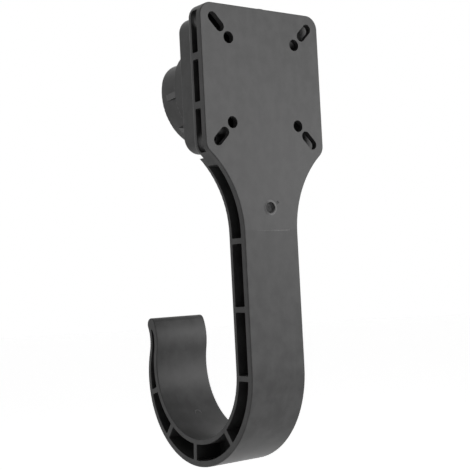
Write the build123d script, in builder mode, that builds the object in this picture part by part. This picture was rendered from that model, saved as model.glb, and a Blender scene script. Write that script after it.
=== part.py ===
"""Wall holder for an electric-vehicle charging plug, with a hook for its cable.

One moulding, in millimetres, +Z up. The wall plane is Y = 0 and the holder stands out
from it towards -Y. The origin is the centre of the round wall holes.
"""

import os
from math import atan2, cos, degrees, hypot, radians, sin, sqrt

from build123d import *

# Cup: the D-shaped bore that takes the plug, with its flat upwards, and the wall round it
bore_radius = 34.1
bore_flat = 18.6
bore_shoulder = 14.5
cup_wall = 3.2
cup_height = 1.6
cup_length = 24.5
cup_lip_round = 1.0

# Collar round the root of the cup
collar_step = 5.5
collar_flat_step = 6.3
collar_length = 13.4
collar_edge_round = 0.6

# Gussets between the collar's front and the cup, on both sides
gusset_angles = (-6.0, -43.5)
gusset_width = 4.2
gusset_length = 18.0
gusset_setback = 0.8

# Square boss that carries the collar, with a screw bore in each corner
boss_ledge = 2.95
boss_corner_radius = 11.0
boss_length = 16.8
boss_edge_round = 0.8
screw_bore_diameter = 5.5

# Wall plate behind the boss
plate_ledge = 4.25
plate_corner_radius = 9.2
plate_depth = 14.5
plate_front_skin = 4.2
plate_top_wall = 4.75
plate_bottom_web = 7.9
plate_front_round = 2.5

# Slanted slots and round holes in the back skin of the plate
slot_inset = 12.5
slot_width = 7.0
slot_travel = 7.8
slot_angle = 45.0
hole_to_slot = 9.5
wall_hole_diameter = 8.0

# Ribs between the plate's side pockets
plate_rib = 4.5
plate_rib_to_hole = 12.0
plate_rib_shift = -0.9

# Arm
arm_width = 45.3
arm_length = 142.25
arm_step = 3.0
arm_step_drop = 0.5
arm_front_skin = 3.1
flank_radius = 70.0

# Side pockets and ribs of the arm
arm_pocket_drop = 5.4
arm_rib = 3.6
arm_first_bay = 50.0
arm_last_rib_drop = 3.85
arm_rib_count = 3

# Back skin, centre web and edge rounding shared by plate, arm and hook
back_skin = 4.3
centre_web = 4.0
edge_round = 0.7
pocket_corner_round = 0.8

# Hook: one inner arc, two outer arcs round it, and a tip that flares back outwards
inner_radius = 48.85
bottom_thickening = 1.65
outer_arc_sweep = 85.0
limb_growth = 11.0
tip_back_radius = 24.5
tip_thickness = 9.7
tip_angle = 24.5

# Side pockets and ribs of the hook
limb_skin = 3.5
inner_skin = 3.4
pocket_taper_start = 6.0
pocket_taper_end = 22.0
hook_rib_angles = (50.3, 93.6, 127.4, 161.3)

# Gate mark in the wall face of the arm
gate_drop = 34.0
gate_diameter = 7.4
gate_depth = 2.5

# From the bore outwards: cup, collar, boss, plate, and the holes that follow the plate
cup_radius = bore_radius + cup_wall
cup_flat = bore_flat + cup_wall
cup_shoulder = bore_shoulder + cup_wall
collar_radius = cup_radius + collar_step
collar_flat = cup_flat + collar_flat_step
collar_shoulder = cup_shoulder + collar_step
boss_size = 2 * (collar_radius + boss_ledge)
plate_size = boss_size + 2 * plate_ledge
slot_pitch = plate_size - 2 * slot_inset
wall_hole_pitch = slot_pitch - 2 * hole_to_slot
half_plate = plate_size / 2
half_arm = arm_width / 2

# From the plate downwards, as depths and heights
arm_depth = plate_depth + arm_step
arm_step_height = -half_plate - arm_step_drop
arm_pocket_top = -half_plate - arm_pocket_drop
hook_start = -half_plate - arm_length
gate_height = -half_plate - gate_drop
arm_rib_first = arm_pocket_top - arm_first_bay
arm_rib_last = hook_start - arm_last_rib_drop
arm_rib_pitch = (arm_rib_first - arm_rib_last) / (arm_rib_count - 1)
plate_rib_reach = wall_hole_pitch / 2 - plate_rib_to_hole

# Flank: an arc tangent to the plate's corner round above and to the arm's side below
corner_centre = half_plate - plate_corner_radius
flank_centre_x = half_arm + flank_radius
flank_offset_x = flank_centre_x - corner_centre
flank_span = flank_radius + plate_corner_radius
flank_centre_z = -corner_centre - sqrt(flank_span**2 - flank_offset_x**2)
flank_meet_angle = degrees(atan2(-corner_centre - flank_centre_z, flank_offset_x))

# Centres of the hook's arcs, as (Y, Z)
outer_radius = inner_radius + arm_depth + bottom_thickening
limb_radius = inner_radius + limb_growth
outer_centre = (-outer_radius, hook_start)
inner_centre = (-arm_depth - inner_radius, hook_start)
arc_step = outer_radius - limb_radius
limb_centre = (
    outer_centre[0] + arc_step * cos(radians(outer_arc_sweep)),
    outer_centre[1] - arc_step * sin(radians(outer_arc_sweep)),
)

# The tip's centre is where its two arcs are tangent to the limb arc and to the inner arc
tip_to_limb = limb_radius + tip_back_radius
tip_to_inner = inner_radius + tip_back_radius + tip_thickness
between_y = inner_centre[0] - limb_centre[0]
between_z = inner_centre[1] - limb_centre[1]
between = hypot(between_y, between_z)
tip_along = (tip_to_limb**2 - tip_to_inner**2 + between**2) / (2 * between)
tip_across = sqrt(tip_to_limb**2 - tip_along**2)
tip_centre = (
    limb_centre[0] + (tip_along * between_y - tip_across * between_z) / between,
    limb_centre[1] + (tip_along * between_z + tip_across * between_y) / between,
)
limb_end_angle = degrees(atan2(tip_centre[1] - limb_centre[1], tip_centre[0] - limb_centre[0]))
inner_end_angle = degrees(atan2(tip_centre[1] - inner_centre[1], tip_centre[0] - inner_centre[0]))
tip_front_radius = tip_back_radius + tip_thickness
tip_mid_radius = tip_back_radius + tip_thickness / 2
tip_cap_centre = (
    tip_centre[0] + tip_mid_radius * cos(radians(tip_angle)),
    tip_centre[1] + tip_mid_radius * sin(radians(tip_angle)),
)

# The same arcs for the edge of the hook's pockets
pocket_outer_radius = outer_radius - back_skin
pocket_limb_radius = limb_radius - limb_skin
pocket_inner_radius = inner_radius + inner_skin
pocket_step = pocket_outer_radius - pocket_limb_radius
pocket_limb_centre = (
    outer_centre[0] + pocket_step * cos(radians(outer_arc_sweep)),
    outer_centre[1] - pocket_step * sin(radians(outer_arc_sweep)),
)
pocket_inner_centre = (arm_front_skin - arm_depth - pocket_inner_radius, hook_start)
pocket_limb_y = tip_centre[0] - pocket_limb_centre[0]
pocket_limb_z = tip_centre[1] - pocket_limb_centre[1]
pocket_limb_angle = degrees(atan2(pocket_limb_z, pocket_limb_y))
pocket_tip_back_radius = hypot(pocket_limb_y, pocket_limb_z) - pocket_limb_radius
pocket_inner_y = tip_centre[0] - pocket_inner_centre[0]
pocket_inner_z = tip_centre[1] - pocket_inner_centre[1]
pocket_inner_angle = degrees(atan2(pocket_inner_z, pocket_inner_y))
pocket_tip_front_radius = hypot(pocket_inner_y, pocket_inner_z) - pocket_inner_radius
pocket_point = (
    tip_centre[0] + pocket_tip_back_radius * cos(radians(pocket_taper_end)),
    tip_centre[1] + pocket_tip_back_radius * sin(radians(pocket_taper_end)),
)

# Depth band and heights of the plate's pockets
plate_pocket_front = plate_front_skin - plate_depth
plate_pocket_depth = -back_skin - plate_pocket_front
plate_pocket_top = half_plate - plate_top_wall
plate_pocket_bottom = arm_pocket_top + plate_bottom_web
hook_reach = limb_radius - limb_centre[0]

# Distances of the front faces from the wall
boss_front = plate_depth + boss_length
collar_front = boss_front + collar_length
cup_front = collar_front + cup_length
gusset_front = collar_front + gusset_length
gusset_root = cup_radius - cup_wall / 2

# Radial planes of the gussets, with local X outwards and local Y along the cup
gusset_planes = [
    Plane(
        origin=(0, 0, cup_height),
        x_dir=(cos(radians(angle)), 0, sin(radians(angle))),
        z_dir=(-sin(radians(angle)), 0, cos(radians(angle))),
    )
    for angle in (*gusset_angles, *[180 - angle for angle in gusset_angles])
]


def d_outline(radius, flat, shoulder):
    """Draw a circle cut by a flat above its centre, with a round shoulder at each end of the flat."""
    shoulder_x = sqrt((radius - shoulder) ** 2 - (flat - shoulder) ** 2)
    shoulder_z = cup_height + flat - shoulder
    meet_angle = degrees(atan2(flat - shoulder, shoulder_x))
    CenterArc((0, cup_height), radius, 180 - meet_angle, 180 + 2 * meet_angle)
    CenterArc((shoulder_x, shoulder_z), shoulder, meet_angle, 90 - meet_angle)
    CenterArc((-shoulder_x, shoulder_z), shoulder, 90, 90 - meet_angle)
    Line((-shoulder_x, cup_height + flat), (shoulder_x, cup_height + flat))


def is_rim_edge(edge):
    """Tell whether a long edge is on the rim of the wall face, the arm or the hook."""
    middle = edge.center()
    at_side = abs(middle.X) > half_arm - edge_round
    return at_side and (middle.Y > -edge_round or middle.Z < arm_step_height)


def is_square_corner(vertex, edges):
    """Tell whether the two edges at a vertex meet nearer to square than to in line."""
    meeting = [edge for edge in edges if edge.distance_to(vertex) < pocket_corner_round / 100]
    directions = [edge.tangent_at(vertex.center()) for edge in meeting]
    return abs(directions[0].dot(directions[1])) < cos(radians(45))


with BuildPart() as ev_connector_holder:
    # Side profile of plate, arm and hook
    with BuildSketch(Plane.YZ) as side_profile:
        with BuildLine():
            Line((0, half_plate), (0, hook_start))
            CenterArc(outer_centre, outer_radius, 0, -outer_arc_sweep)
            CenterArc(
                limb_centre, limb_radius, -outer_arc_sweep, limb_end_angle - 360 + outer_arc_sweep
            )
            CenterArc(
                tip_centre, tip_back_radius, limb_end_angle - 180, tip_angle + 180 - limb_end_angle
            )
            CenterArc(tip_cap_centre, tip_thickness / 2, tip_angle + 180, -180)
            CenterArc(
                tip_centre, tip_front_radius, tip_angle, inner_end_angle - 180 - tip_angle
            )
            CenterArc(inner_centre, inner_radius, inner_end_angle - 360, 360 - inner_end_angle)
            Polyline(
                (-arm_depth, hook_start),
                (-arm_depth, arm_step_height),
                (-plate_depth, arm_step_height),
                (-plate_depth, half_plate),
                (0, half_plate),
            )
        make_face()
    extrude(amount=half_plate, both=True)

    # Front outline: round-cornered plate, curved flanks, straight arm
    with BuildSketch(Plane.XZ) as front_outline:
        RectangleRounded(plate_size, plate_size, plate_corner_radius)
        with BuildLine():
            right_flank = CenterArc(
                (flank_centre_x, flank_centre_z), flank_radius, 180, -flank_meet_angle
            )
            left_flank = CenterArc((-flank_centre_x, flank_centre_z), flank_radius, 0, flank_meet_angle)
            Line(left_flank @ 1, right_flank @ 1)
            Line(left_flank @ 0, right_flank @ 0)
        make_face()
        with Locations((0, flank_centre_z)):
            Rectangle(arm_width, outer_radius - hook_start + flank_centre_z, align=(Align.CENTER, Align.MAX))
    extrude(amount=hook_reach, mode=Mode.INTERSECT)

    # Rounded edges: more round the plate's front, less along the wall face, the arm and the hook
    plate_front = ev_connector_holder.faces().filter_by(Plane.XZ).sort_by(Axis.Y)[1]
    fillet(plate_front.edges().filter_by(Axis.X, reverse=True), plate_front_round)
    long_edges = (
        ev_connector_holder.edges().filter_by(Axis.X, reverse=True).filter_by(Axis.Y, reverse=True)
    )
    fillet(long_edges.filter_by(is_rim_edge), edge_round)

    # Side pockets, first right through
    with BuildSketch(Plane.YZ) as pocket_windows:
        with BuildLine():
            Line((-back_skin, arm_pocket_top), (-back_skin, hook_start))
            CenterArc(outer_centre, pocket_outer_radius, 0, -outer_arc_sweep)
            CenterArc(
                pocket_limb_centre,
                pocket_limb_radius,
                -outer_arc_sweep,
                pocket_limb_angle - 360 + outer_arc_sweep,
            )
            CenterArc(
                tip_centre,
                pocket_tip_back_radius,
                pocket_limb_angle - 180,
                pocket_taper_end + 180 - pocket_limb_angle,
            )
            taper_base = CenterArc(
                tip_centre,
                pocket_tip_front_radius,
                pocket_inner_angle - 180,
                pocket_taper_start + 180 - pocket_inner_angle,
            )
            TangentArc(taper_base @ 1, pocket_point, tangent=taper_base % 1)
            CenterArc(
                pocket_inner_centre,
                pocket_inner_radius,
                pocket_inner_angle - 360,
                360 - pocket_inner_angle,
            )
            Polyline(
                (arm_front_skin - arm_depth, hook_start),
                (arm_front_skin - arm_depth, arm_pocket_top),
                (-back_skin, arm_pocket_top),
            )
        make_face()
        with Locations((-arm_depth / 2, (arm_rib_first + arm_rib_last) / 2)):
            with GridLocations(0, arm_rib_pitch, 1, arm_rib_count):
                Rectangle(arm_depth, arm_rib, mode=Mode.SUBTRACT)
        with Locations(*[Location(inner_centre, -angle) for angle in hook_rib_angles]):
            with Locations((inner_radius + arm_depth / 2, 0)):
                Rectangle(arm_depth, arm_rib, mode=Mode.SUBTRACT)
        with Locations((plate_pocket_front, plate_pocket_top)):
            Rectangle(
                plate_pocket_depth,
                plate_pocket_top - plate_pocket_bottom,
                align=(Align.MIN, Align.MAX),
            )
        with Locations((plate_pocket_front + plate_pocket_depth / 2, plate_rib_shift)):
            with GridLocations(0, 2 * plate_rib_reach, 1, 2):
                Rectangle(plate_pocket_depth, plate_rib, mode=Mode.SUBTRACT)
        window_edges = pocket_windows.edges()
        square_corners = pocket_windows.vertices().filter_by(
            lambda vertex: is_square_corner(vertex, window_edges)
        )
        fillet(square_corners, pocket_corner_round)
    extrude(amount=half_plate, both=True, mode=Mode.SUBTRACT)

    # Centre web between the pockets of the two sides
    extrude(side_profile.sketch, amount=centre_web / 2, both=True)

    # Square boss against the plate
    with BuildSketch(Plane.XZ.offset(plate_depth)) as boss:
        RectangleRounded(boss_size, boss_size, boss_corner_radius)
    extrude(amount=boss_length)
    fillet(ev_connector_holder.faces().filter_by(Plane.XZ).sort_by(Axis.Y)[0].edges(), boss_edge_round)

    # Collar
    with BuildSketch(Plane.XZ.offset(boss_front)) as collar:
        with BuildLine():
            d_outline(collar_radius, collar_flat, collar_shoulder)
        make_face()
    extrude(amount=collar_length)
    fillet(ev_connector_holder.faces().filter_by(Plane.XZ).sort_by(Axis.Y)[0].edges(), collar_edge_round)

    # Cup, bored down to the plate's front skin and rounded at its lip
    with BuildSketch(Plane.XZ.offset(collar_front)) as cup:
        with BuildLine():
            d_outline(cup_radius, cup_flat, cup_shoulder)
        make_face()
    extrude(amount=cup_length)
    with BuildSketch(Plane.XZ.offset(plate_depth)) as bore:
        with BuildLine():
            d_outline(bore_radius, bore_flat, bore_shoulder)
        make_face()
    extrude(amount=cup_front - plate_depth, mode=Mode.SUBTRACT)
    fillet(ev_connector_holder.faces().filter_by(Plane.XZ).sort_by(Axis.Y)[0].edges(), cup_lip_round)

    # Gussets
    with BuildSketch(*gusset_planes) as gussets:
        with BuildLine():
            Polyline(
                (gusset_root, -collar_front),
                (collar_radius - gusset_setback, -collar_front),
                (cup_radius, -gusset_front),
                (gusset_root, -gusset_front),
                close=True,
            )
        make_face()
    extrude(amount=gusset_width / 2, both=True)

    # Round holes and slanted slots through the back skin
    with BuildSketch(Plane.XZ) as wall_holes:
        with GridLocations(wall_hole_pitch, wall_hole_pitch, 2, 2):
            Circle(wall_hole_diameter / 2)
        for side in (-1, 1):
            with Locations((side * slot_pitch / 2, slot_pitch / 2)):
                SlotCenterToCenter(slot_travel, slot_width, rotation=side * slot_angle)
            with Locations((side * slot_pitch / 2, -slot_pitch / 2)):
                SlotCenterToCenter(slot_travel, slot_width, rotation=-side * slot_angle)
    extrude(amount=back_skin, mode=Mode.SUBTRACT)

    # Screw bores through boss and front skin, in line with the slots
    with BuildSketch(Plane.XZ.offset(-plate_pocket_front)) as screw_bores:
        with GridLocations(slot_pitch, slot_pitch, 2, 2):
            Circle(screw_bore_diameter / 2)
    extrude(amount=boss_front + plate_pocket_front, mode=Mode.SUBTRACT)

    # Gate mark
    with BuildSketch(Plane.XZ) as gate_mark:
        with Locations((0, gate_height)):
            Circle(gate_diameter / 2)
    extrude(amount=gate_depth, mode=Mode.SUBTRACT)

os.makedirs("parts", exist_ok=True)
ev_connector_holder.part.label = "ev_connector_holder"
export_step(ev_connector_holder.part, "parts/ev_connector_holder.step")
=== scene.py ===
"""Dressed model of a wall holder for an electric-vehicle charging plug and its cable.

The holder is one dark grey injection moulding. Its solid comes from the fixed frame and gets
a moulded finish here. Small pieces add the marks that the moulding tool left on it. Lengths
are metres where nothing else is said, +Z is up and the wall plane is Y = 0.
"""

import logging
from dataclasses import dataclass
from enum import Enum

import bpy
import numpy as np
from mathutils import Matrix, Vector


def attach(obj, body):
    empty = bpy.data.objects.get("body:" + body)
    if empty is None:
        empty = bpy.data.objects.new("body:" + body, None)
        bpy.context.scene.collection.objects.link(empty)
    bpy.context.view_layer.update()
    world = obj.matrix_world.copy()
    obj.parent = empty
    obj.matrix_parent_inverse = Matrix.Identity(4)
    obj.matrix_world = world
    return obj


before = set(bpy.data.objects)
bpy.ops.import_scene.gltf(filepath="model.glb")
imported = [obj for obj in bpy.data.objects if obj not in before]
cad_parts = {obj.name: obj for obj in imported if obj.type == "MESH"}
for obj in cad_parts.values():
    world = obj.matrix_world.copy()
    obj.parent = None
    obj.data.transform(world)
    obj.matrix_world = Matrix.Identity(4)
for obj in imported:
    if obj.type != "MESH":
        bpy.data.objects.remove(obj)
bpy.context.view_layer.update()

LOG = logging.getLogger("holder")
MM = 0.001
PHOTO_PIXELS = 470
SENSOR_MM = 36.0
BODY = "root"
NODE = "ev_connector_holder"
EVEN = (1.0, 1.0, 1.0)
UNIT = (0.0, 1.0)
WHITE = (1.0, 1.0, 1.0, 1.0)

Pair = tuple[float, float]
Triple = tuple[float, float, float]


class Blend(Enum):
    """Ways in which two values of a shader tree are joined."""

    ADD = "ADD"
    SUBTRACT = "SUBTRACT"
    MULTIPLY = "MULTIPLY"
    MAXIMUM = "MAXIMUM"
    MINIMUM = "MINIMUM"
    POWER = "POWER"
    ABSOLUTE = "ABSOLUTE"


class Wiring:
    """Adds nodes to one shader tree and joins them."""

    def __init__(self, tree: bpy.types.NodeTree) -> None:
        """Keep the tree that the nodes go into.

        Args:
            tree: A material's node tree or a node group.
        """
        self.tree = tree

    def add(self, kind: str, **settings: object) -> bpy.types.Node:
        """Add a node.

        Args:
            kind: The node's type name.
            **settings: Properties to set on it.

        Returns:
            The new node.
        """
        node = self.tree.nodes.new(kind)
        for name, value in settings.items():
            setattr(node, name, value)
        return node

    def join(self, source: bpy.types.NodeSocket, target: bpy.types.NodeSocket) -> None:
        """Link an output to an input.

        Args:
            source: The output.
            target: The input.
        """
        self.tree.links.new(source, target)

    def feed(self, target: bpy.types.NodeSocket, value: "bpy.types.NodeSocket | float") -> None:
        """Link a socket to an input, or set the input to a number.

        Args:
            target: The input.
            value: A socket or a number.
        """
        if isinstance(value, bpy.types.NodeSocket):
            self.join(value, target)
        else:
            target.default_value = value

    def math(
        self,
        blend: Blend,
        first: "bpy.types.NodeSocket | float",
        second: "bpy.types.NodeSocket | float",
    ) -> bpy.types.NodeSocket:
        """Join two values by one sum.

        Args:
            blend: The sum.
            first: A socket or a number.
            second: A socket or a number.

        Returns:
            The result's socket.
        """
        node = self.add("ShaderNodeMath", operation=blend.value)
        self.feed(node.inputs[0], first)
        self.feed(node.inputs[1], second)
        return node.outputs[0]

    def span(
        self,
        value: bpy.types.NodeSocket,
        source: Pair,
        target: Pair,
        smooth: bool = False,
    ) -> bpy.types.NodeSocket:
        """Carry a value from one range to another, and clamp it there.

        Args:
            value: The value's socket.
            source: Lowest and highest value that come in.
            target: What these two become.
            smooth: Whether it eases in and out.

        Returns:
            The result's socket.
        """
        node = self.add("ShaderNodeMapRange")
        node.interpolation_type = "SMOOTHSTEP" if smooth else "LINEAR"
        self.join(value, node.inputs["Value"])
        node.inputs["From Min"].default_value = source[0]
        node.inputs["From Max"].default_value = source[1]
        node.inputs["To Min"].default_value = target[0]
        node.inputs["To Max"].default_value = target[1]
        return node.outputs["Result"]

    def split(
        self, place: bpy.types.NodeSocket
    ) -> tuple[bpy.types.NodeSocket, bpy.types.NodeSocket, bpy.types.NodeSocket]:
        """Split a place into its coordinates.

        Args:
            place: The place on the piece.

        Returns:
            The sockets of X, Y and Z.
        """
        parts = self.add("ShaderNodeSeparateXYZ")
        self.join(place, parts.inputs["Vector"])
        return parts.outputs["X"], parts.outputs["Y"], parts.outputs["Z"]

    def lower(
        self,
        value: bpy.types.NodeSocket,
        mask: bpy.types.NodeSocket,
        amount: "bpy.types.NodeSocket | float",
    ) -> bpy.types.NodeSocket:
        """Take the product of a mask and an amount away from a value.

        Args:
            value: The value's socket.
            mask: The mask's socket.
            amount: What goes off where the mask is 1, a socket or a number.

        Returns:
            The result's socket.
        """
        return self.math(Blend.SUBTRACT, value, self.math(Blend.MULTIPLY, mask, amount))

    def reach(self, place: bpy.types.NodeSocket, spot: Pair) -> bpy.types.NodeSocket:
        """Measure how far a place is from a line along Y.

        The distance is the root of the sum of the squares of the offsets in X and Z.

        Args:
            place: The place on the piece.
            spot: The line's X and Z.

        Returns:
            The distance's socket, in metres.
        """
        x, _, z = self.split(place)
        across = self.math(Blend.POWER, self.math(Blend.SUBTRACT, x, spot[0]), 2.0)
        along = self.math(Blend.POWER, self.math(Blend.SUBTRACT, z, spot[1]), 2.0)
        return self.math(Blend.POWER, self.math(Blend.ADD, across, along), 0.5)

    def noise(
        self,
        position: bpy.types.NodeSocket,
        scale: "bpy.types.NodeSocket | float",
        detail: float,
        stretch: Triple,
    ) -> bpy.types.NodeSocket:
        """Add noise over the surface.

        Args:
            position: The place on the piece.
            scale: Features per metre.
            detail: Octaves of finer noise.
            stretch: Scale of the pattern along each axis.

        Returns:
            The noise's value, from 0 to 1.
        """
        mapping = self.add("ShaderNodeMapping")
        mapping.inputs["Scale"].default_value = stretch
        self.join(position, mapping.inputs["Vector"])
        node = self.add("ShaderNodeTexNoise", noise_dimensions="3D")
        self.join(mapping.outputs["Vector"], node.inputs["Vector"])
        self.feed(node.inputs["Scale"], scale)
        node.inputs["Detail"].default_value = detail
        return node.outputs["Fac"]


def open_group(
    name: str, inputs: dict[str, str], outputs: dict[str, str]
) -> tuple[Wiring, bpy.types.Node, bpy.types.Node]:
    """Make an empty node group with its sockets.

    Args:
        name: The group's name.
        inputs: Socket types by input name.
        outputs: Socket types by output name.

    Returns:
        The group's wiring, and its input and output nodes.
    """
    tree = bpy.data.node_groups.new(name, "ShaderNodeTree")
    for label, kind in inputs.items():
        tree.interface.new_socket(name=label, in_out="INPUT", socket_type=kind)
    for label, kind in outputs.items():
        tree.interface.new_socket(name=label, in_out="OUTPUT", socket_type=kind)
    wiring = Wiring(tree)
    return wiring, wiring.add("NodeGroupInput"), wiring.add("NodeGroupOutput")


@dataclass(frozen=True)
class MouldGrain:
    """The fine pitted grain of an eroded tool and the soft clouds of plastic that cooled unevenly."""

    name: str = "mould_grain"
    grain_detail: float = 2.0
    ripples_per_metre: float = 70.0
    ripple_height: float = 0.05
    ripple_detail: float = 1.0
    ripple_stretch: Triple = (1.0, 1.0, 0.6)
    cloud_detail: float = 4.0
    cloud_stretch: Triple = (1.0, 1.0, 0.8)
    cloud_span: Pair = (0.3, 0.7)

    def build(self) -> bpy.types.NodeTree:
        """Build the group once.

        The height is the grain times its height, plus a long ripple times its own. Both heights
        are millimetres.

        Returns:
            A group that turns a place into a height in millimetres and a cloud mask.
        """
        if self.name in bpy.data.node_groups:
            return bpy.data.node_groups[self.name]
        wiring, start, end = open_group(
            self.name,
            {
                "Position": "NodeSocketVector",
                "Grains Per Metre": "NodeSocketFloat",
                "Grain Height": "NodeSocketFloat",
                "Clouds Per Metre": "NodeSocketFloat",
            },
            {"Height": "NodeSocketFloat", "Clouds": "NodeSocketFloat"},
        )
        place = start.outputs["Position"]
        grain = wiring.noise(place, start.outputs["Grains Per Metre"], self.grain_detail, EVEN)
        ripple = wiring.noise(place, self.ripples_per_metre, self.ripple_detail, self.ripple_stretch)
        clouds = wiring.noise(
            place, start.outputs["Clouds Per Metre"], self.cloud_detail, self.cloud_stretch
        )
        pits = wiring.math(Blend.MULTIPLY, grain, start.outputs["Grain Height"])
        waves = wiring.math(Blend.MULTIPLY, ripple, self.ripple_height)
        wiring.join(wiring.math(Blend.ADD, pits, waves), end.inputs["Height"])
        wiring.join(wiring.span(clouds, self.cloud_span, UNIT, smooth=True), end.inputs["Clouds"])
        return wiring.tree


@dataclass(frozen=True)
class MouldedPlastic:
    """Dark grey moulded plastic: soft clouds between two greys, and a matte grain.

    The clouds run between two shares of the lighter grey, and the grain's height is millimetres.
    """

    name: str
    dark: Triple
    light: Triple
    clouds: Pair
    roughness: Pair
    grain_height: float
    grains_per_metre: float = 1900.0
    clouds_per_metre: float = 120.0
    specular: float = 0.175

    def build(self) -> bpy.types.Material:
        """Build the material.

        Returns:
            The material, with its grain, clouds and sheen wired in.
        """
        material = bpy.data.materials.new(self.name)
        material.use_nodes = True
        wiring = Wiring(material.node_tree)
        shader = material.node_tree.nodes["Principled BSDF"]
        shader.inputs["Specular IOR Level"].default_value = self.specular
        grain = wiring.add("ShaderNodeGroup", node_tree=MouldGrain().build())
        place = wiring.add("ShaderNodeTexCoord").outputs["Object"]
        wiring.join(place, grain.inputs["Position"])
        grain.inputs["Grains Per Metre"].default_value = self.grains_per_metre
        grain.inputs["Grain Height"].default_value = self.grain_height
        grain.inputs["Clouds Per Metre"].default_value = self.clouds_per_metre
        clouds = grain.outputs["Clouds"]
        tone = wiring.span(clouds, UNIT, self.clouds)
        height, tone = self.marks(wiring, place, grain.outputs["Height"], tone)
        colour = wiring.add("ShaderNodeMix", data_type="RGBA")
        wiring.join(tone, colour.inputs["Factor"])
        colour.inputs["A"].default_value = (*self.dark, 1.0)
        colour.inputs["B"].default_value = (*self.light, 1.0)
        wiring.join(colour.outputs["Result"], shader.inputs["Base Color"])
        wiring.join(wiring.span(clouds, UNIT, self.roughness), shader.inputs["Roughness"])
        bump = wiring.add("ShaderNodeBump")
        bump.inputs["Strength"].default_value = 1.0
        bump.inputs["Distance"].default_value = MM
        wiring.join(height, bump.inputs["Height"])
        wiring.join(bump.outputs["Normal"], shader.inputs["Normal"])
        return material

    def marks(
        self,
        wiring: Wiring,
        place: bpy.types.NodeSocket,
        height: bpy.types.NodeSocket,
        tone: bpy.types.NodeSocket,
    ) -> tuple[bpy.types.NodeSocket, bpy.types.NodeSocket]:
        """Give height and tone as they are: a plain finish has no marks of its own.

        Args:
            wiring: The material's wiring, not used here.
            place: The place on the piece, not used here.
            height: The grain's height in millimetres.
            tone: The share of the lighter grey.

        Returns:
            The height and the tone.
        """
        return height, tone


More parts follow.
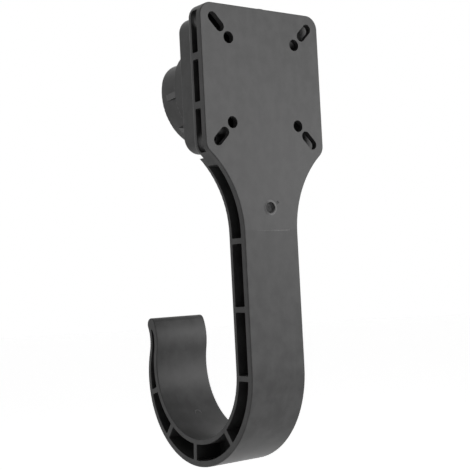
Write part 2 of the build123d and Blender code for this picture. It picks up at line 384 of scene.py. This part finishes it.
@dataclass(frozen=True)
class BodyPlastic(MouldedPlastic):
    """The holder's own plastic, with what the tool left in its wall face.

    That is a sink mark opposite each rib, a duller surface below the joint of two inserts,
    and a pit beside the gate, whose darker tone is painted shade. The cup's gussets and the
    side pockets of the plate get a darker tone that is painted shade as well.

    The pit and the cup's axis are places in X and Z. The other pairs are the start and the end
    of a change along an axis or a radius. The depths of sink marks and pit are millimetres.
    """

    sink_heights: tuple[float, ...] = (-0.1054, -0.15075, -0.1961, 0.0151, -0.0169)
    sink_depths: tuple[float, ...] = (0.02, 0.008, 0.008, 0.004, 0.004)
    sink_half_width: float = 0.0042
    wall_face: Pair = (-0.002, -0.001)
    insert_edge: Pair = (-0.099, -0.0986)
    below_insert: float = 0.12
    pit: Pair = (-0.00625, -0.0804)
    pit_radii: Pair = (0.0005, 0.001)
    pit_depth: float = 0.45
    # Painted shade in the pit, on top of its real depth.
    pit_painted_shade: float = 0.3
    collar_front: Pair = (-0.0448, -0.0445)
    cup_axis: Pair = (0.0, 0.0016)
    cup_radii: Pair = (0.0374, 0.038)
    # Painted shade on the gussets.
    gusset_painted_shade: float = 0.5
    pocket_rim: Pair = (0.0405, 0.0492)
    pocket_back: Pair = (-0.0045, -0.0042)
    pocket_front: Pair = (-0.0126, -0.012)
    plate_lowest: Pair = (-0.056, -0.05)
    # Painted shade in the plate's side pockets, deepest inwards.
    pocket_painted_shade: float = 0.4

    def marks(
        self,
        wiring: Wiring,
        place: bpy.types.NodeSocket,
        height: bpy.types.NodeSocket,
        tone: bpy.types.NodeSocket,
    ) -> tuple[bpy.types.NodeSocket, bpy.types.NodeSocket]:
        """Lower the height at the sink marks and in the pit, darken the surface below the
        inserts' joint, and paint shade into the pit, the gussets and the plate's side pockets.

        The depth at distance d from a sink mark is its full depth times a smooth step that
        falls from 1 at d = 0 to 0 at d = half width. Sink marks, pit and the duller surface
        below the inserts' joint are on the wall face alone.

        Args:
            wiring: The material's wiring.
            place: The place on the piece.
            height: The grain's height in millimetres.
            tone: The share of the lighter grey.

        Returns:
            The height and the tone with the marks in them.
        """
        _, y, z = wiring.split(place)
        on_face = wiring.span(y, self.wall_face, UNIT)
        for rib, depth in zip(self.sink_heights, self.sink_depths):
            distance = wiring.math(Blend.ABSOLUTE, wiring.math(Blend.SUBTRACT, z, rib), 0.0)
            band = wiring.span(distance, (0.0, self.sink_half_width), (depth, 0.0), smooth=True)
            height = wiring.lower(height, band, on_face)
        pit = wiring.span(wiring.reach(place, self.pit), self.pit_radii, (1.0, 0.0), smooth=True)
        pit = wiring.math(Blend.MULTIPLY, pit, on_face)
        height = wiring.lower(height, pit, self.pit_depth)
        below = wiring.span(z, self.insert_edge, (self.below_insert, 0.0))
        tone = wiring.lower(tone, below, on_face)
        # Painted shade in the pit.
        tone = wiring.lower(tone, pit, self.pit_painted_shade)
        # Painted shade on the gussets and in the plate's side pockets.
        return height, wiring.math(Blend.SUBTRACT, tone, self.painted_recess_shade(wiring, place))

    def painted_recess_shade(self, wiring: Wiring, place: bpy.types.NodeSocket) -> bpy.types.NodeSocket:
        """Find how much painted shade darkens the gussets and the plate's side pockets.

        A gusset is what lies in front of the collar and outside the cup's radius. A pocket is
        what lies between the plate's two skins, and its painted shade deepens from its rim inwards.
        Neither reaches below the plate.

        Args:
            wiring: The material's wiring.
            place: The place on the piece.

        Returns:
            The socket of the tone that is taken away.
        """
        x, y, z = wiring.split(place)
        # Painted shade on the gussets.
        ahead = wiring.span(y, self.collar_front, (1.0, 0.0))
        outside = wiring.span(wiring.reach(place, self.cup_axis), self.cup_radii, (0.0, self.gusset_painted_shade))
        gusset = wiring.math(Blend.MULTIPLY, ahead, outside)
        across = wiring.math(Blend.ABSOLUTE, x, 0.0)
        # Painted shade in the side pockets, growing from the rim inwards.
        inwards = wiring.span(across, self.pocket_rim, (self.pocket_painted_shade, 0.0))
        behind = wiring.span(y, self.pocket_back, (1.0, 0.0))
        before = wiring.span(y, self.pocket_front, UNIT)
        between = wiring.math(Blend.MULTIPLY, behind, before)
        pocket = wiring.math(Blend.MULTIPLY, between, inwards)
        on_plate = wiring.span(z, self.plate_lowest, UNIT)
        return wiring.math(Blend.MULTIPLY, wiring.math(Blend.ADD, gusset, pocket), on_plate)


@dataclass(frozen=True)
class ScarPlastic(MouldedPlastic):
    """The plastic round the gate: a pale rim, painted highlight on its side towards the
    lamps, and a dull, darker inside, partly its torn plastic and partly painted shade.
    """

    spot: Pair = (0.0, -0.084)
    inside: Pair = (0.0031, 0.0038)
    outside: Pair = (0.005, 0.0057)
    across: Pair = (-0.0005, 0.0042)
    # Darker inside: partly the dull torn plastic of the bowl, partly painted shade in it.
    dull_and_shaded_inside: float = -0.8
    outside_tone: float = -0.6
    # Painted shade on the +X side, away from the lamps.
    painted_side_shade: float = -0.6

    def marks(
        self,
        wiring: Wiring,
        place: bpy.types.NodeSocket,
        height: bpy.types.NodeSocket,
        tone: bpy.types.NodeSocket,
    ) -> tuple[bpy.types.NodeSocket, bpy.types.NodeSocket]:
        """Change the tone with the distance from the gate's axis.

        The tone is lowered by a smooth step inwards across the rim, partly for the bowl's dull
        torn plastic and partly as painted shade in it, and brought back to the wall face's own tone
        by another outwards, and by a third from -X to +X, which is painted shade on the side away
        from the lamps and leaves the pale rim as a painted highlight on the side towards them. The
        lowest of the three counts.

        Args:
            wiring: The material's wiring.
            place: The place on the piece.
            height: The grain's height in millimetres.
            tone: The share of the lighter grey.

        Returns:
            The height as it is, and the changed tone.
        """
        x, _, _ = wiring.split(place)
        reach = wiring.reach(place, self.spot)
        # Darker inside: partly dull torn plastic, partly painted shade in the bowl.
        inwards = wiring.span(reach, self.inside, (self.dull_and_shaded_inside, 0.0), smooth=True)
        outwards = wiring.span(reach, self.outside, (0.0, self.outside_tone), smooth=True)
        # Painted shade on the +X side, so that the pale rim stays a painted highlight towards the lamps.
        side_shade_ramp = wiring.span(x, self.across, (0.0, self.painted_side_shade), smooth=True)
        change = wiring.math(Blend.MINIMUM, wiring.math(Blend.MINIMUM, inwards, outwards), side_shade_ramp)
        return height, wiring.math(Blend.ADD, tone, change)


def grid_quads(rows: int, columns: int, wrap: bool) -> np.ndarray:
    """Number the corners of the quads between the points of a grid.

    Args:
        rows: Points along the first parameter.
        columns: Points along the second parameter.
        wrap: Whether the last column meets the first.

    Returns:
        One row of four point numbers for each quad.
    """
    row = np.arange(rows - 1)[:, None]
    column = np.arange(columns if wrap else columns - 1)[None, :]
    after = (column + 1) % columns
    near, far = row * columns, (row + 1) * columns
    return np.stack([near + column, near + after, far + after, far + column], -1).reshape(-1, 4)


def full_turn(steps: int) -> np.ndarray:
    """Give evenly spaced angles of one full turn.

    Args:
        steps: How many.

    Returns:
        The angles in radians, as one row.
    """
    return np.linspace(0.0, 2.0 * np.pi, steps, endpoint=False)[None, :]


def fan(centre: int, rim: np.ndarray) -> list[list[int]]:
    """Number the corners of the triangles between one point and a closed rim.

    Args:
        centre: The point's number.
        rim: The rim's point numbers, in the order in which the triangles run.

    Returns:
        The triangles.
    """
    return np.stack([np.full(rim.size, centre), rim, np.roll(rim, -1)], -1).tolist()


def rings_to_faces(rings: int, steps: int) -> list[list[int]]:
    """Number the corners of the faces of rings that a point closes at each end.

    The first end's point comes right after all points of the rings, and then the last end's.

    Args:
        rings: How many rings there are.
        steps: Points on each ring.

    Returns:
        The faces as lists of point numbers.
    """
    step = np.arange(steps)
    start = rings * steps
    first = [[centre, after, here] for centre, here, after in fan(start, step)]
    last = fan(start + 1, start - steps + step)
    return grid_quads(rings, steps, wrap=True).tolist() + first + last


def revolve(radius: np.ndarray, depth: np.ndarray) -> tuple[np.ndarray, list[list[int]]]:
    """Turn a profile about the Y axis and close it with a point at each end.

    The point at ring i and angle a is (radius_i cos a, depth_i, radius_i sin a), and both
    arrays may vary with the angle, so that an uneven form is turned the same way.

    Args:
        radius: Rings by angles, the distance from the axis.
        depth: Rings by angles, the place along Y.

    Returns:
        The points, and the faces as lists of point numbers.
    """
    angle = full_turn(radius.shape[1])
    points = np.stack([radius * np.cos(angle), depth, radius * np.sin(angle)], -1).reshape(-1, 3)
    ends = [[0.0, depth[0].mean(), 0.0], [0.0, depth[-1].mean(), 0.0]]
    return np.concatenate([points, ends]), rings_to_faces(*radius.shape)


def make_piece(
    name: str, points: np.ndarray, faces: list[list[int]], material: bpy.types.Material
) -> bpy.types.Object:
    """Put a closed surface into the scene, with its faces outwards, and let it ride on the holder.

    Args:
        name: The piece's name.
        points: Its points, in the holder's frame.
        faces: Its faces, as lists of point numbers.
        material: Its finish.

    Returns:
        The new object.
    """
    mesh = bpy.data.meshes.new(name)
    mesh.from_pydata(points.tolist(), [], faces)
    mesh.validate()
    mesh.update()
    corners = np.array([points[[face[0], face[1], face[2]]] for face in faces])
    volume = np.einsum("ij,ij->i", corners[:, 0], np.cross(corners[:, 1], corners[:, 2])).sum()
    if volume < 0.0:
        mesh.flip_normals()
    mesh.polygons.foreach_set("use_smooth", np.ones(len(mesh.polygons), dtype=bool))
    mesh.materials.append(material)
    piece = bpy.data.objects.new(name, mesh)
    bpy.context.scene.collection.objects.link(piece)
    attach(piece, BODY)
    return piece


@dataclass
class GateScar:
    """What is left of the gate: a raised rim round a torn bowl with a low stub in its middle.

    The bowl lines the round recess of the solid. Its profile runs from the stub out over the
    rim, and back underneath it inside the solid. Radii, depths and the tear are millimetres,
    height and lean are metres, and the high side is an angle in degrees.
    """

    finish: ScarPlastic
    height: float = -0.084
    floor_radii: tuple[float, ...] = (0.3, 0.8, 1.2, 1.7, 2.2, 2.7, 3.05, 3.35)
    rim_radii: tuple[float, ...] = (3.55, 3.75, 4.0, 4.25, 4.5)
    floor_depths: tuple[float, ...] = (-1.75, -1.8, -1.92, -2.05, -2.0, -1.8, -1.45, -0.95)
    rim_depths: tuple[float, ...] = (-0.45, 0.0, 0.21, 0.27, 0.22)
    foot_radii: tuple[float, ...] = (4.8, 5.1, 5.4, 5.7, 5.6, 3.9, 3.85, 0.3)
    foot_depths: tuple[float, ...] = (0.13, 0.06, 0.02, -0.03, -0.4, -0.6, -2.52, -2.56)
    tear: float = 0.1
    high_side: float = 200.0
    high_share: float = 0.3
    oval_share: float = 0.15
    notch_share: float = 0.08
    lobe_share: float = 0.02
    lobed_radius: float = 4.6
    bowl_radius: float = 3.7
    bowl_depth: float = 1.5
    lean: Pair = (-0.0005, 0.0004)
    steps: int = 96

    def build(self) -> bpy.types.Object:
        """Build the scar.

        At angle a the rim's height is its mean times 1 + H cos(a - high side) - O cos 2a
        + N sin 7a, where H, O and N are the high, oval and notch shares. The rings of the bowl's
        floor wave by the tear times sin(3a + 9r) + 0.6 sin(5a - 14r), where r is the radius in
        millimetres. All rings inside the lobed radius have four faint lobes, and the bowl shifts
        towards the lean as it goes down.

        Returns:
            The scar.
        """
        turn = full_turn(self.steps)
        radius = np.array(self.floor_radii + self.rim_radii + self.foot_radii)[:, None] * MM
        mean = np.array(self.floor_depths + self.rim_depths + self.foot_depths)[:, None] * MM
        swell = 1.0 + self.high_share * np.cos(turn - np.radians(self.high_side))
        swell = swell - self.oval_share * np.cos(2.0 * turn) + self.notch_share * np.sin(7.0 * turn)
        waves = np.sin(3.0 * turn + 9.0 * radius / MM) + 0.6 * np.sin(5.0 * turn - 14.0 * radius / MM)
        torn = np.zeros_like(mean)
        torn[: len(self.floor_radii)] = self.tear * MM
        depth = np.where(mean > 0.0, mean * swell, mean + torn * waves)
        lobed = radius < self.lobed_radius * MM
        lobes = 1.0 + self.lobe_share * np.sin(4.0 * turn + 0.6) * lobed
        points, faces = revolve(radius * lobes, depth)
        within = np.hypot(points[:, 0], points[:, 2]) < self.bowl_radius * MM
        share = np.clip(-points[:, 1] / (self.bowl_depth * MM), 0.0, 1.0) * within
        points += share[:, None] * [self.lean[0], 0.0, self.lean[1]]
        return make_piece("gate_scar", points + [0.0, 0.0, self.height], faces, self.finish.build())


@dataclass
class InsertLine:
    """The fine raised line across the arm, where two inserts of the tool met."""

    height: float = -0.09914
    middle: float = -0.0018
    half_length: float = 0.0142
    half_width: float = 0.00042
    rise: float = 0.00012
    faint_share: float = 0.3
    wave_share: float = 0.2
    end_power: int = 8
    least_end: float = 0.02
    stations: int = 120
    sides: int = 12

    def build(self, material: bpy.types.Material) -> bpy.types.Object:
        """Make the line.

        Its section is an ellipse, half of it under the wall face. Along the line, from -1 to 1,
        the rise is the mean rise times 1 + the wave share times sin 9s, and both rise and width
        fall to almost nothing at the ends, by the root of 1 - s to the end power. On the +X side
        of the arm's middle they fall to their faint share.

        Args:
            material: The finish.

        Returns:
            The line.
        """
        along = np.linspace(-1.0, 1.0, self.stations)[:, None]
        section = full_turn(self.sides)
        place = self.middle + along * self.half_length
        faint = self.faint_share + (1.0 - self.faint_share) / (1.0 + np.exp(place / MM))
        taper = np.sqrt(np.clip(1.0 - along**self.end_power, self.least_end, 1.0)) * faint
        rise = self.rise * taper * (1.0 + self.wave_share * np.sin(9.0 * along))
        points = np.stack(
            [
                place * np.ones_like(section),
                rise * np.sin(section),
                self.height + self.half_width * taper * np.cos(section),
            ],
            -1,
        )
        first = np.arange(self.sides)
        last = first + (self.stations - 1) * self.sides
        faces = grid_quads(self.stations, self.sides, wrap=True).tolist()
        faces += [first.tolist(), last[::-1].tolist()]
        return make_piece("insert_line", points.reshape(-1, 3), faces, material)


@dataclass
class EjectorMark:
    """The round mark of an ejector pin on the inner surface of the hook.

    The profile runs from the middle outwards and back underneath. Its radii are shares of the
    radius, and its rises are shares of the rise. The angle is in degrees.
    """

    centre: Pair = (-0.06635, -0.19225)
    hook_radius: float = 0.04885
    middle: float = -0.002
    angle: float = -133.3
    radius: float = 0.003
    rise: float = 0.0003
    radii: tuple[float, ...] = (0.25, 0.5, 0.62, 0.8, 0.9, 1.0, 0.7)
    rises: tuple[float, ...] = (-1.0, -0.9, -0.4, 1.0, 0.6, -0.8, -2.0)
    end_rises: Pair = (-1.0, -2.5)
    even_lift: float = 0.45
    lowest_lift: float = -0.3
    steps: int = 72

    def build(self, material: bpy.types.Material) -> bpy.types.Object:
        """Make the mark, a thin ring that follows the hook's curve.

        A flat disc is bent onto the hook: its X stays, and its other side length s becomes the
        angle s / hook radius. Only its rim comes out of the surface, and only on the side
        towards the hook's tip: at angle a of the disc the rim's rise is multiplied by the even
        lift - sin a, between the lowest lift and 1.

        Args:
            material: The finish.

        Returns:
            The mark.
        """
        turn = full_turn(self.steps)
        share = np.array(self.radii)[:, None]
        profile = np.array(self.rises)[:, None]
        lift = np.clip(self.even_lift - np.sin(turn), self.lowest_lift, 1.0)
        rise = np.where(profile > 0.0, profile * lift, profile) * self.rise
        across = self.middle + self.radius * share * np.cos(turn)
        along = np.radians(self.angle) + self.radius * share * np.sin(turn) / self.hook_radius
        points = self.on_hook(across, along, rise)
        ends = self.on_hook(self.middle, np.radians(self.angle), self.rise * np.array(self.end_rises))
        faces = rings_to_faces(share.size, self.steps)
        return make_piece("ejector_mark", np.concatenate([points, ends]), faces, material)

    def on_hook(
        self, across: "np.ndarray | float", along: "np.ndarray | float", rise: np.ndarray
    ) -> np.ndarray:
        """Place points above the inner surface of the hook.

        Args:
            across: Their X.
            along: Their angles about the hook's centre.
            rise: Their heights above the surface.

        Returns:
            One row of X, Y and Z for each point.
        """
        reach = self.hook_radius - rise
        y = self.centre[0] + reach * np.cos(along)
        z = self.centre[1] + reach * np.sin(along)
        return np.stack([across * np.ones_like(reach), y, z], -1).reshape(-1, 3)


@dataclass
class Moulding:
    """The holder itself: the solid from the frame, its finish and the tool's marks on it."""

    finish: BodyPlastic
    scar: ScarPlastic
    # Finish of the small marks: lighter than the body as a painted highlight, and glossier.
    polished_highlit: MouldedPlastic

    def build(self) -> list[bpy.types.Object]:
        """Dress the solid and add the marks.

        Returns:
            The solid and the new pieces.
        """
        material = self.finish.build()
        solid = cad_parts[NODE]
        for slot in solid.material_slots:
            slot.material = material
        polished_highlit = self.polished_highlit.build()
        return [
            solid,
            GateScar(self.scar).build(),
            InsertLine().build(polished_highlit),
            EjectorMark().build(polished_highlit),
        ]


@dataclass(frozen=True)
class SoftBox:
    """One area lamp, aimed at the middle of the holder."""

    name: str
    towards: Triple
    distance: float
    width: float
    tall: float
    power: float

    def build(self, target: Vector) -> bpy.types.Object:
        """Hang the lamp.

        Args:
            target: The point that it is aimed at.

        Returns:
            The lamp.
        """
        light = bpy.data.lights.new(self.name, "AREA")
        light.shape = "RECTANGLE"
        light.size = self.width
        light.size_y = self.tall
        light.energy = self.power
        lamp = bpy.data.objects.new(self.name, light)
        bpy.context.scene.collection.objects.link(lamp)
        way = Vector(self.towards).normalized()
        lamp.location = target + way * self.distance
        lamp.rotation_euler = way.to_track_quat("Z", "Y").to_euler()
        return lamp


@dataclass
class Studio:
    """Pale floor, white surroundings and soft boxes."""

    lamps: tuple[SoftBox, ...]
    target: Triple = (0.0, -0.05, -0.10)
    floor_height: float = -0.45
    floor_rings: tuple[float, ...] = (0.3, 1.0, 3.0, 6.0)
    floor_spokes: int = 64
    floor_colour: Triple = (0.8, 0.8, 0.8)
    floor_roughness: float = 0.9
    floor_glow: float = 0.8
    ambient: float = 0.15

    def build(self) -> list[bpy.types.Object]:
        """Build the studio.

        Returns:
            The floor and the lamps.
        """
        self.surroundings()
        return [self.floor(), *(lamp.build(Vector(self.target)) for lamp in self.lamps)]

    def surroundings(self) -> None:
        """Make the world white where it is looked at, and dimmer where it lights."""
        world = bpy.data.worlds.new("surroundings")
        world.use_nodes = True
        bpy.context.scene.world = world
        wiring = Wiring(world.node_tree)
        background = world.node_tree.nodes["Background"]
        background.inputs["Color"].default_value = WHITE
        strength = wiring.span(self.looked_at(wiring), UNIT, (self.ambient, 1.0))
        wiring.join(strength, background.inputs["Strength"])

    def looked_at(self, wiring: Wiring) -> bpy.types.NodeSocket:
        """Tell rays that look at a thing, or at its reflection, from rays that light others.

        Args:
            wiring: The wiring of the world or of a material.

        Returns:
            A socket that is 1 for camera, glossy and transmission rays.
        """
        path = wiring.add("ShaderNodeLightPath")
        seen = wiring.math(Blend.MAXIMUM, path.outputs["Is Camera Ray"], path.outputs["Is Glossy Ray"])
        return wiring.math(Blend.MAXIMUM, seen, path.outputs["Is Transmission Ray"])

    def floor(self) -> bpy.types.Object:
        """Make the floor, a flat disc of rings and spokes far below the holder.

        Returns:
            The floor.
        """
        turn = full_turn(self.floor_spokes)
        reach = np.array(self.floor_rings)[:, None]
        level = np.full((reach.size, turn.size), self.floor_height)
        flat = np.stack([reach * np.cos(turn), reach * np.sin(turn), level], -1)
        points = np.concatenate([flat.reshape(-1, 3), [[0.0, 0.0, self.floor_height]]])
        rings = grid_quads(reach.size, turn.size, wrap=True)[:, ::-1]
        middle = fan(level.size, np.arange(turn.size))
        mesh = bpy.data.meshes.new("floor")
        mesh.from_pydata(points.tolist(), [], rings.tolist() + middle)
        mesh.materials.append(self.floor_finish())
        floor = bpy.data.objects.new("floor", mesh)
        bpy.context.scene.collection.objects.link(floor)
        return floor

    def floor_finish(self) -> bpy.types.Material:
        """Make the floor's finish, pale paper that looks white where no shadow falls.

        Returns:
            The material.
        """
        material = bpy.data.materials.new("pale_floor")
        material.use_nodes = True
        wiring = Wiring(material.node_tree)
        shader = material.node_tree.nodes["Principled BSDF"]
        shader.inputs["Base Color"].default_value = (*self.floor_colour, 1.0)
        shader.inputs["Roughness"].default_value = self.floor_roughness
        shader.inputs["Emission Color"].default_value = WHITE
        glow = wiring.span(self.looked_at(wiring), UNIT, (0.0, self.floor_glow))
        wiring.join(glow, shader.inputs["Emission Strength"])
        return material


@dataclass(frozen=True)
class PhotoCamera:
    """The camera, as fitted to the photograph's holes, edges and outline."""

    place: Triple = (0.42841, 0.52781, -0.12827)
    azimuth: float = 143.009
    pitch: float = 2.296
    roll: float = -2.92
    focal_pixels: float = 1020.327
    nearest: float = 0.01

    def build(self) -> bpy.types.Object:
        """Place the camera.

        Returns:
            The scene's camera.
        """
        azimuth, pitch, roll = np.radians([self.azimuth, self.pitch, self.roll])
        ahead = np.array([-np.sin(azimuth) * np.cos(pitch), np.cos(azimuth) * np.cos(pitch), np.sin(pitch)])
        level = np.cross(ahead, [0.0, 0.0, 1.0])
        level /= np.linalg.norm(level)
        upright = np.cross(level, ahead)
        right = np.cos(roll) * level + np.sin(roll) * upright
        up = np.cos(roll) * upright - np.sin(roll) * level
        lens = bpy.data.cameras.new("photo_camera")
        lens.sensor_width = SENSOR_MM
        lens.lens = self.focal_pixels / PHOTO_PIXELS * SENSOR_MM
        lens.clip_start = self.nearest
        camera = bpy.data.objects.new("photo_camera", lens)
        turned = Matrix(np.column_stack([right, up, -ahead]).tolist()).to_4x4()
        camera.matrix_world = Matrix.Translation(self.place) @ turned
        bpy.context.scene.collection.objects.link(camera)
        bpy.context.scene.camera = camera
        return camera


STUDIO_LAMPS = (
    SoftBox("side_key", (-0.68, 0.733, 0.08), 1.2, 0.35, 0.35, 4.2),
    SoftBox("low_fill", (-0.42, 0.908, -0.2), 1.2, 0.35, 0.35, 1.9),
    SoftBox("high_key", (-0.42, 0.908, 0.35), 1.2, 0.35, 0.35, 4.2),
    SoftBox("front_key", (-0.12, 0.993, 0.35), 1.2, 0.35, 0.35, 2.8),
    SoftBox("far_side", (0.9, -0.45, 0.0), 1.2, 0.5, 0.9, 3.4),
)


def main() -> None:
    """Build camera, studio and holder in order, and report each piece."""
    logging.basicConfig(level=logging.INFO, format="%(name)s: %(message)s")
    bpy.context.scene.view_settings.view_transform = "Standard"
    PhotoCamera().build()
    Studio(STUDIO_LAMPS).build()
    finish = BodyPlastic(
        name="moulded_plastic_body",
        dark=(0.012, 0.012, 0.0122),
        light=(0.0865, 0.0862, 0.0862),
        clouds=(0.4, 0.62),
        roughness=(0.4, 0.44),
        grain_height=0.005,
    )
    scar = ScarPlastic(
        name="moulded_plastic_scar",
        dark=(0.0237, 0.0237, 0.0239),
        light=(0.155, 0.154, 0.154),
        clouds=(0.65, 0.95),
        roughness=(0.45, 0.6),
        grain_height=0.02,
        clouds_per_metre=900.0,
    )
    # Lighter than the body plastic: a painted highlight on the insert line and the ejector mark. Its lower
    # roughness makes them glossier.
    polished_highlit = MouldedPlastic(
        name="moulded_plastic_polished_highlit",
        dark=(0.08, 0.08, 0.08),
        light=(0.12, 0.119, 0.118),
        clouds=(0.0, 1.0),
        roughness=(0.3, 0.4),
        grain_height=0.002,
        clouds_per_metre=600.0,
    )
    for piece in Moulding(finish, scar, polished_highlit).build():
        LOG.info("%s: %d points, %d faces", piece.name, len(piece.data.vertices), len(piece.data.polygons))


if __name__ == "__main__":
    main()
